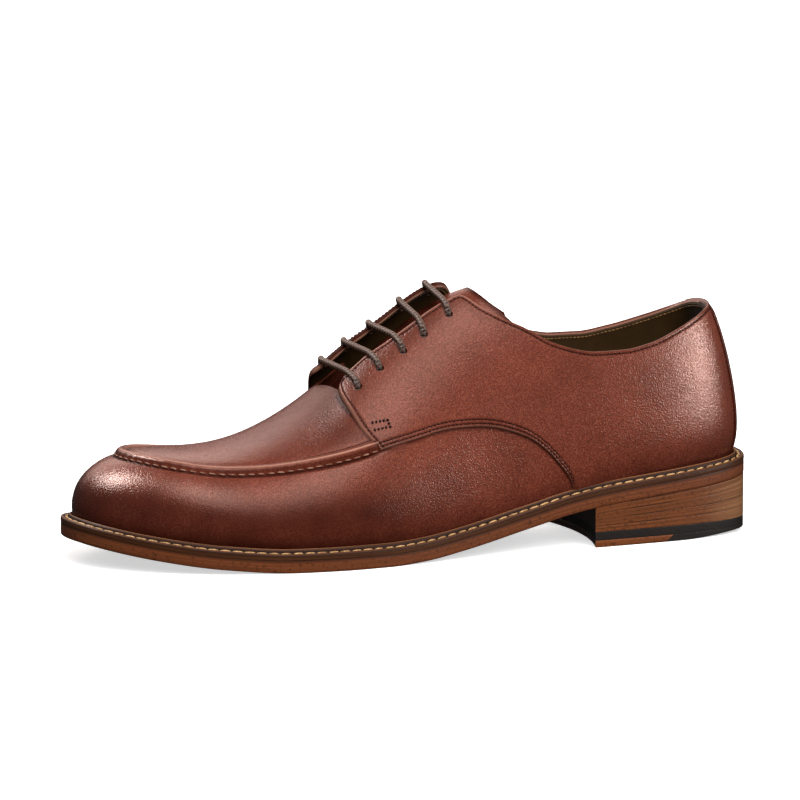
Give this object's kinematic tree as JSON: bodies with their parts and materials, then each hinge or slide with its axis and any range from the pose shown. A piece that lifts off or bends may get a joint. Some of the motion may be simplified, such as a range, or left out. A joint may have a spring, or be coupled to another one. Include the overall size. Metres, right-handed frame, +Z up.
{
  "type": "lace-up shoe",
  "caption": "Brown leather lace-up shoe for the left foot, with an apron toe, open collar, straight lacing, stitched welt, leather sole and stacked heel.",
  "frame": {"origin": "middle of the shoe's box on the floor it stands on", "axes": "+X from toe to heel, -Y to the outer side of the foot, +Z up"},
  "size_m": [0.3, 0.1046, 0.1098],
  "materials": {
    "upper": "smooth, semi-gloss",
    "tongue": "smooth",
    "sole": "burnished edge",
    "welt": "dark edge",
    "insole": "matte",
    "lace": "waxed cord",
    "heel_leather": "stacked edge",
    "heel_rubber": "matte"
  },
  "bodies": {
    "root": {"outsole": "sole", "welt": "welt", "insole": "insole", "upper": "upper", "tongue": "tongue", "lace_bar_1": "lace", "lace_bar_2": "lace", "lace_bar_3": "lace", "lace_bar_4": "lace", "lace_bar_5": "lace", "heel_lift_1": "heel_leather", "heel_lift_2": "heel_leather", "heel_lift_3": "heel_leather", "heel_lift_4": "heel_leather", "heel_rubber": "heel_rubber", "heel_tip_front": "heel_leather", "heel_tip_back": "heel_rubber"}
  },
  "joints": []
}
